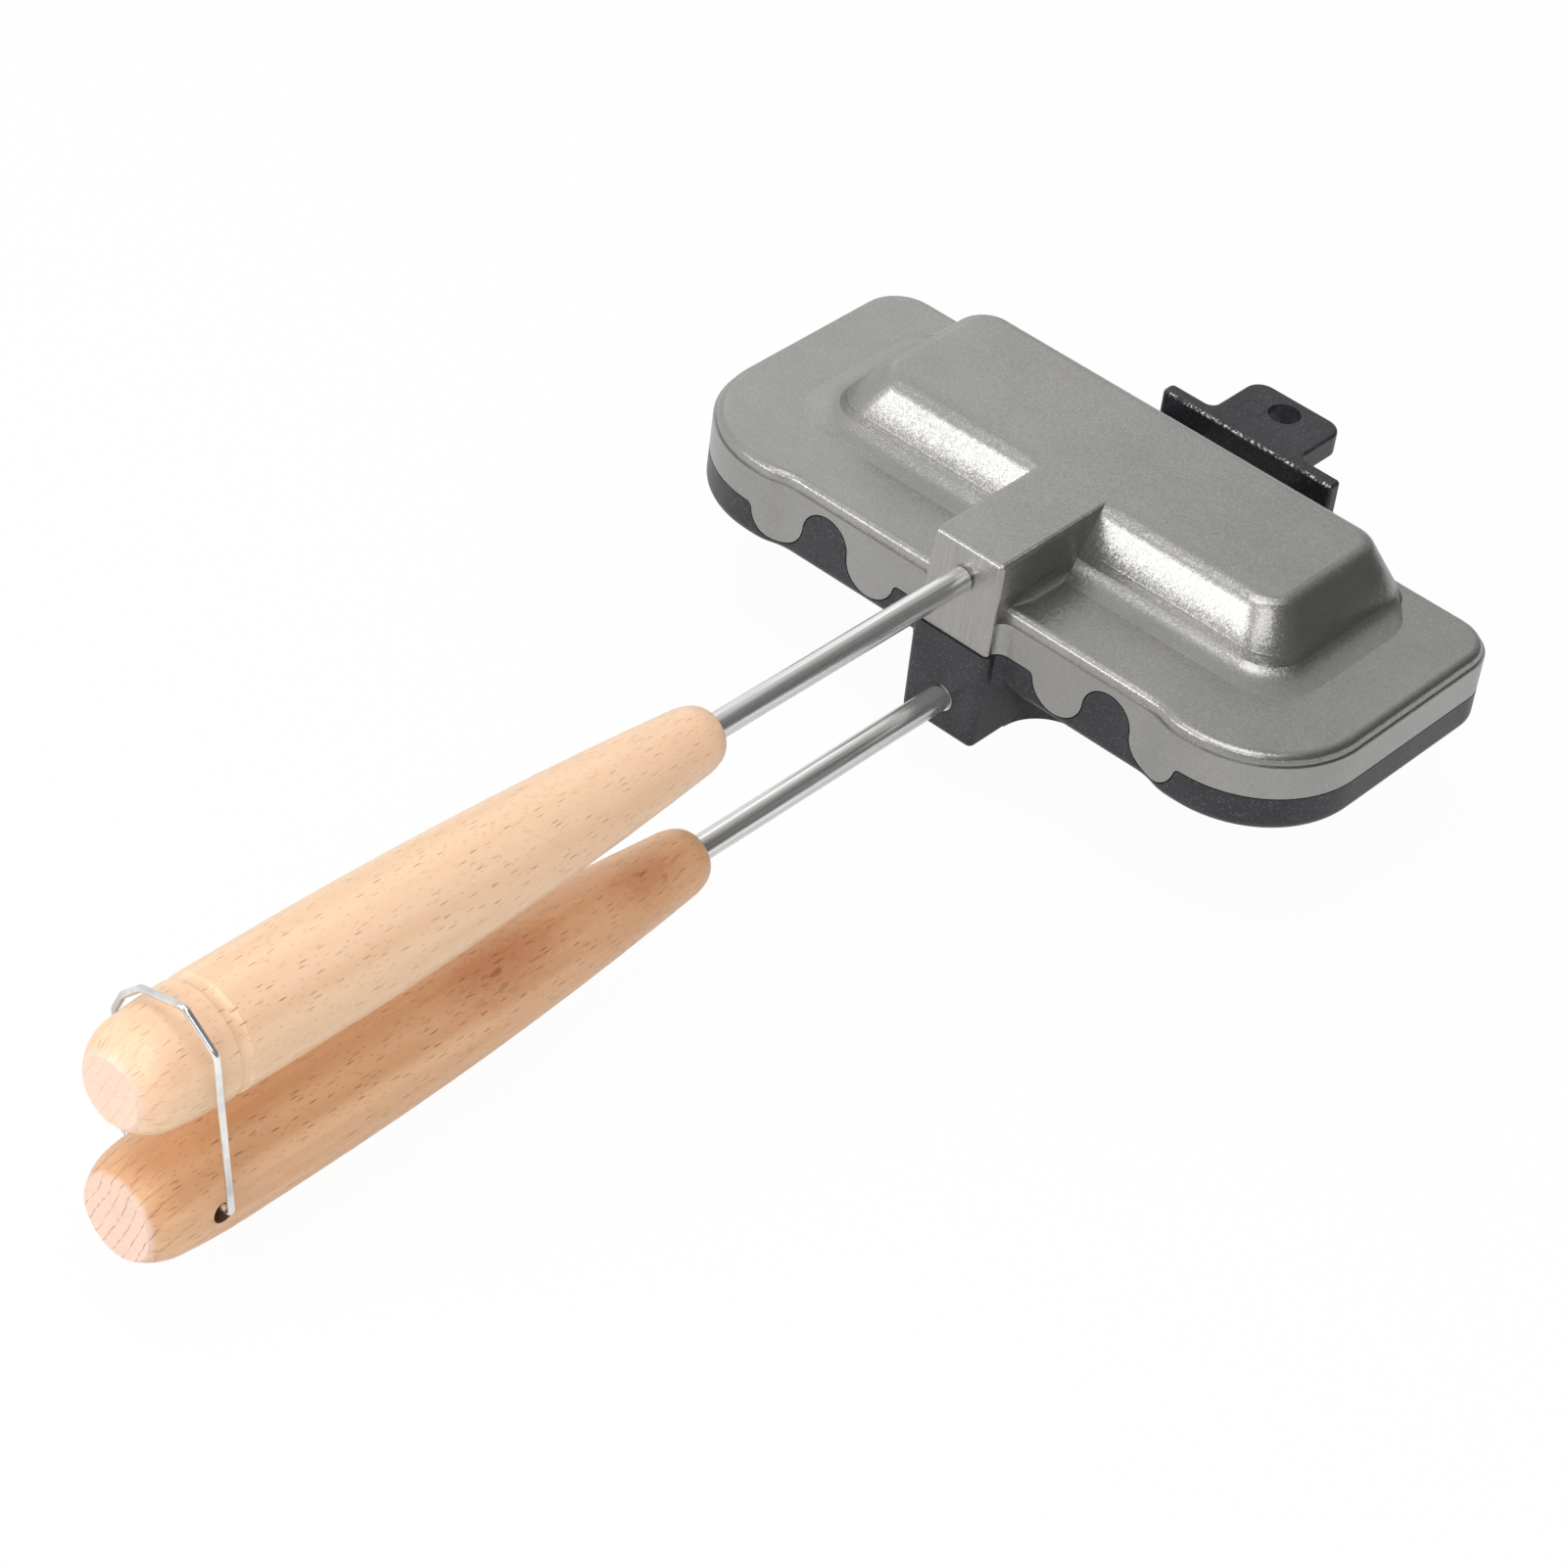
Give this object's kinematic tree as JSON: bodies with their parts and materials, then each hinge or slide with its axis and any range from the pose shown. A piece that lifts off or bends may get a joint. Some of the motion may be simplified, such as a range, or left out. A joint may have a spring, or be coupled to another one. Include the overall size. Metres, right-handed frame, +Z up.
{
  "type": "hinged sandwich toaster pan",
  "caption": "Hinged sandwich toaster pan: two cast halves with wavy interlocking rims, steel rods, turned wooden grips and a wire latch.",
  "frame": {"origin": "middle of the flat underside of the lower half, where the pan rests on the stove", "axes": "+X along the pan, +Y from the grips to the hinge, +Z up"},
  "size_m": [0.1794, 0.3736, 0.0674],
  "materials": {
    "upper_coat": "sparkling warm grey coating",
    "lower_coat": "charcoal speckled coating",
    "steel_rod": "bright drawn steel",
    "upper_wood": "smooth pale beech",
    "lower_wood": "smooth pinkish beech",
    "steel_wire": "bright wire"
  },
  "bodies": {
    "lower_half": {"lower_shell": "lower_coat", "lower_rod": "steel_rod", "lower_grip": "lower_wood"},
    "upper_half": {"upper_shell": "upper_coat", "upper_rod": "steel_rod", "upper_grip": "upper_wood"},
    "latch": {"latch_bail": "steel_wire"}
  },
  "joints": [
    {"name": "pan_open", "type": "hinge", "parent": "lower_half", "child": "upper_half", "pos_m": [0, 0.0644, 0.02525], "axis": [-1, 0, 0], "range_deg": [0, 90]},
    {"name": "latch_swing", "type": "hinge", "parent": "lower_half", "child": "latch", "pos_m": [0, -0.2713, 0.0116], "axis": [1, 0, 0], "range_deg": [-8, 235]}
  ]
}
